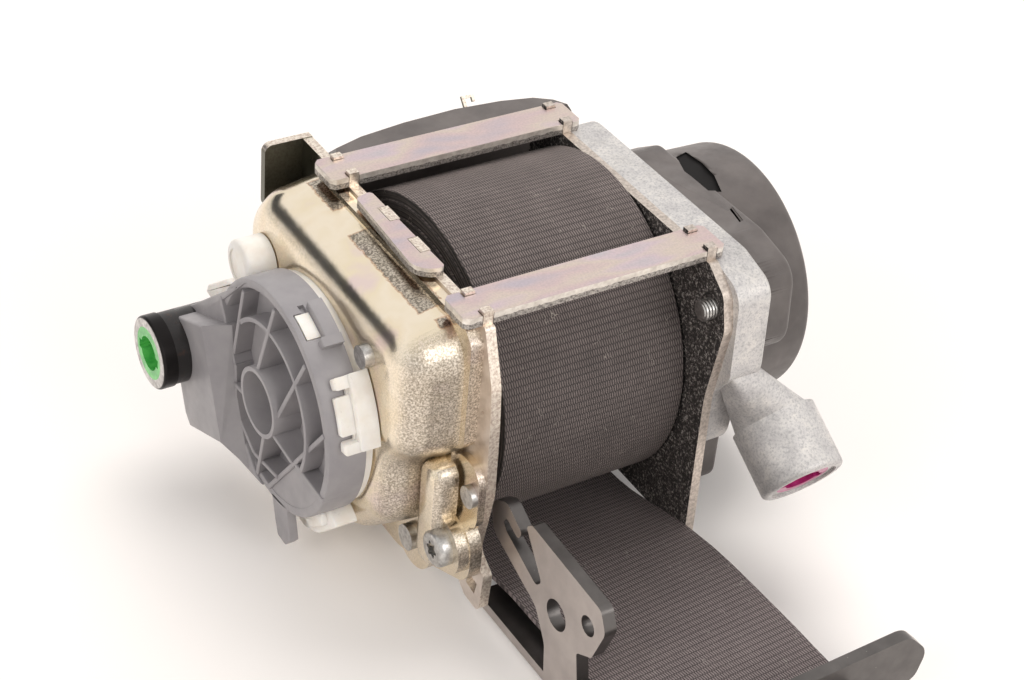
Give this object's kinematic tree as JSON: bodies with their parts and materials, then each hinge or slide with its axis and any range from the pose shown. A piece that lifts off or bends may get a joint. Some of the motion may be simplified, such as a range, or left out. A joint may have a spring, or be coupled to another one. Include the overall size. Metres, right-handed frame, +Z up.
{
  "type": "seat belt retractor with pretensioner",
  "caption": "Seat belt retractor with webbing roll between two plates, gas-driven pretensioner, locking side with sensor, return spring cap and webbing guide bracket.",
  "frame": {"origin": "middle of the footprint, at the level of the feet", "axes": "+X along the spool axis to the locking side, -Y to the webbing exit, +Z up"},
  "size_m": [0.1386, 0.165, 0.0848],
  "materials": {
    "zinc_plate": "zinc plated, sheared edges",
    "zinc_bar": "zinc plated with a pinkish sheen",
    "chromate_cover": "pale yellow chromate",
    "cast_aluminium": "matte die cast",
    "grey_plastic": "moulded, mid grey",
    "dark_plastic": "moulded, dark grey",
    "white_nylon": "moulded, natural white",
    "webbing_fabric": "woven polyester",
    "black_steel": "semi-gloss black",
    "plain_steel": "plain",
    "green_plastic": "moulded, green",
    "magenta_plastic": "moulded, magenta"
  },
  "bodies": {
    "frame": {"left_plate": "zinc_plate", "right_plate": "zinc_plate", "front_tie_bar": "zinc_bar", "rear_tie_bar": "zinc_bar", "lower_tie_bar": "zinc_bar", "edge_strip": "zinc_bar", "drive_base_plate": "chromate_cover", "drive_cover": "chromate_cover", "drive_balls": "plain_steel", "ball_race": "plain_steel", "left_bush": "white_nylon", "lock_ring": "plain_steel", "right_housing": "cast_aluminium", "limiter_igniter": "plain_steel", "limiter_insert": "magenta_plastic", "sensor_cover": "dark_plastic", "right_bush": "white_nylon", "round_cap": "dark_plastic", "sensor_housing": "white_nylon", "spring_carrier": "white_nylon", "carrier_boss": "white_nylon", "return_spring": "plain_steel", "spring_cap": "grey_plastic", "gas_generator": "black_steel", "generator_ring": "plain_steel", "generator_insert": "green_plastic", "cover_screw": "plain_steel", "cover_rivets": "plain_steel", "housing_screw": "plain_steel", "rear_guard": "dark_plastic", "guard_hook": "zinc_plate", "webbing": "webbing_fabric", "guide_base": "black_steel", "guide_side_plate": "black_steel", "guide_front_plate": "black_steel"},
    "spool": {"spool": "cast_aluminium", "webbing_roll": "webbing_fabric", "torsion_bar": "plain_steel", "spring_arbor": "dark_plastic", "locking_head": "cast_aluminium", "flywheel": "plain_steel"},
    "lock_pawl": {"lock_pawl": "plain_steel"},
    "control_disc": {"control_disc": "white_nylon"},
    "drive_wheel": {"drive_wheel": "plain_steel"},
    "sensor_ball": {"sensor_ball": "plain_steel"},
    "sensor_lever": {"sensor_lever": "white_nylon"}
  },
  "joints": [
    {"name": "spool_spin", "type": "hinge", "parent": "frame", "child": "spool", "pos_m": [0.00315, 0.03545, 0.042], "axis": [1, 0, 0], "continuous": true},
    {"name": "drive_wheel_spin", "type": "hinge", "parent": "frame", "child": "drive_wheel", "pos_m": [-0.03585, 0.03545, 0.042], "axis": [1, 0, 0], "continuous": true},
    {"name": "control_disc_lag", "type": "hinge", "parent": "spool", "child": "control_disc", "pos_m": [0.03875, 0.03545, 0.042], "axis": [1, 0, 0], "range_deg": [0, 18]},
    {"name": "lock_pawl_swing", "type": "hinge", "parent": "spool", "child": "lock_pawl", "pos_m": [0.03465, 0.03545, 0.059], "axis": [1, 0, 0], "range_deg": [0, 21]},
    {"name": "sensor_ball_lift", "type": "slide", "parent": "frame", "child": "sensor_ball", "axis": [0, 0, 1], "range_m": [0, 0.0009]},
    {"name": "sensor_lever_lift", "type": "hinge", "parent": "frame", "child": "sensor_lever", "pos_m": [0.04385, 0.03195, 0.0119], "axis": [-1, 0, 0], "range_deg": [0, 6.55]}
  ],
  "couplings": [
    {"joint": "lock_pawl_swing", "follows": "control_disc_lag", "ratio": 1.1667},
    {"joint": "sensor_lever_lift", "follows": "sensor_ball_lift", "rad_per_m": 125}
  ]
}
